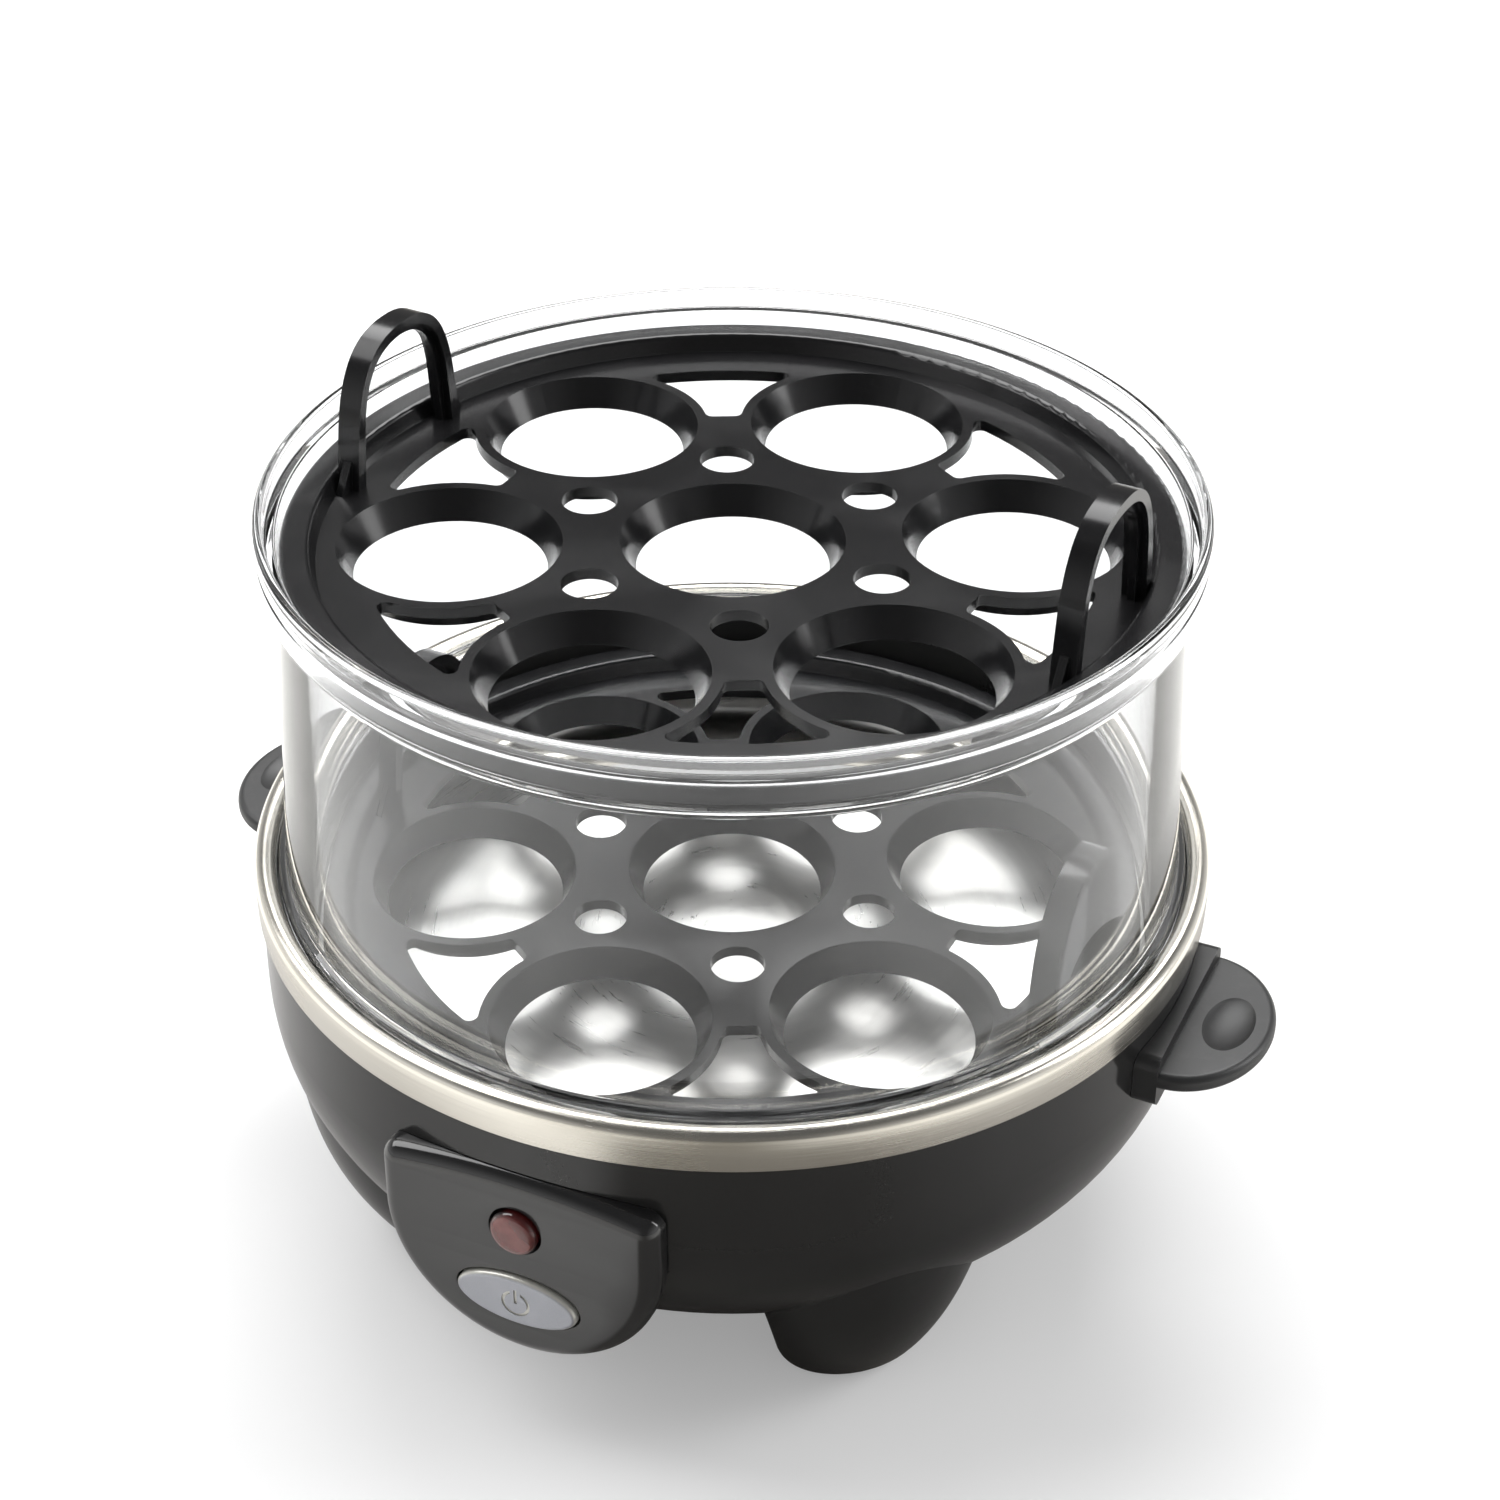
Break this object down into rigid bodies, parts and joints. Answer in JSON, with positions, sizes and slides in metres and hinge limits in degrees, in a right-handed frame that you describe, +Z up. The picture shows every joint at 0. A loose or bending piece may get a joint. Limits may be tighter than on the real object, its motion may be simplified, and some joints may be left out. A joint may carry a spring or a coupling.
{
  "type": "electric egg cooker",
  "caption": "Two-tier electric egg cooker: round footed base with a steel rim, clear steaming tier, and two egg trays with lift arches.",
  "frame": {"origin": "on the vertical axis of the round body, in the plane of the foot pads", "axes": "+Z up; the control panel faces -Y, the cord gland is at +Y, and the two side handles and the lift arches are at +X and -X"},
  "size_m": [0.1972, 0.1704, 0.1541],
  "materials": {
    "black_shell": "satin black moulded plastic",
    "gloss_black": "gloss black plastic",
    "tray_black": "satin black moulded plastic",
    "clear_plastic": "clear moulded plastic, polished",
    "trim_steel": "brushed",
    "pan_steel": "satin drawn steel",
    "clamp_steel": "plain zinc plated strip",
    "screw_steel": "zinc plated",
    "element_metal": "heat-dulled tube",
    "terminal_metal": "plated",
    "thermostat_body": "ceramic white",
    "fuse_body": "ceramic",
    "block_plastic": "natural plastic",
    "switch_body": "black plastic",
    "red_lens": "tinted red, polished",
    "lamp_glass": "small neon tube",
    "silver_button": "silver painted",
    "gasket_rubber": "grey silicone",
    "pad_rubber": "matte",
    "gland_rubber": "matte",
    "lead_black": "silicone sleeve",
    "lead_white": "silicone sleeve"
  },
  "bodies": {
    "base": {"base_housing": "black_shell", "bottom_cover": "black_shell", "cover_screws": "screw_steel", "foot_pads": "pad_rubber", "steel_trim_band": "trim_steel", "heating_pan": "pan_steel", "pan_gasket": "gasket_rubber", "pan_clamps": "clamp_steel", "clamp_nuts": "screw_steel", "heating_element": "element_metal", "element_terminals": "terminal_metal", "thermostat": "thermostat_body", "thermostat_bracket": "clamp_steel", "bracket_nuts": "screw_steel", "thermal_fuse": "fuse_body", "fuse_clip": "clamp_steel", "terminal_block": "block_plastic", "control_panel": "gloss_black", "panel_screws": "screw_steel", "indicator_lens": "red_lens", "neon_lamp": "lamp_glass", "power_switch": "switch_body", "switch_bracket": "clamp_steel", "switch_screws": "screw_steel", "side_handle_right": "black_shell", "side_handle_left": "black_shell", "handle_screws": "screw_steel", "cord_gland": "gland_rubber", "lead_block_to_switch": "lead_black", "lead_switch_to_thermostat": "lead_black", "lead_thermostat_to_element": "lead_black", "lead_element_to_fuse": "lead_white", "lead_fuse_to_block": "lead_white"},
    "power_button": {"power_button": "silver_button", "switch_plunger": "block_plastic"},
    "lower_tray": {"lower_egg_tray": "tray_black"},
    "tier": {"clear_tier": "clear_plastic"},
    "upper_tray": {"upper_egg_tray": "tray_black"}
  },
  "joints": [
    {"name": "button_press", "type": "slide", "parent": "base", "child": "power_button", "axis": [0, 1, 0], "range_m": [0, 0.0015], "stiffness_N_per_m": 600, "springref_m": -0.003},
    {"name": "lower_tray_lift", "type": "slide", "parent": "base", "child": "lower_tray", "axis": [0, 0, 1], "range_m": [0, 0.03]},
    {"name": "tier_lift", "type": "slide", "parent": "lower_tray", "child": "tier", "axis": [0, 0, 1], "range_m": [0, 0.04]},
    {"name": "upper_tray_lift", "type": "slide", "parent": "tier", "child": "upper_tray", "axis": [0, 0, 1], "range_m": [0, 0.03]}
  ]
}
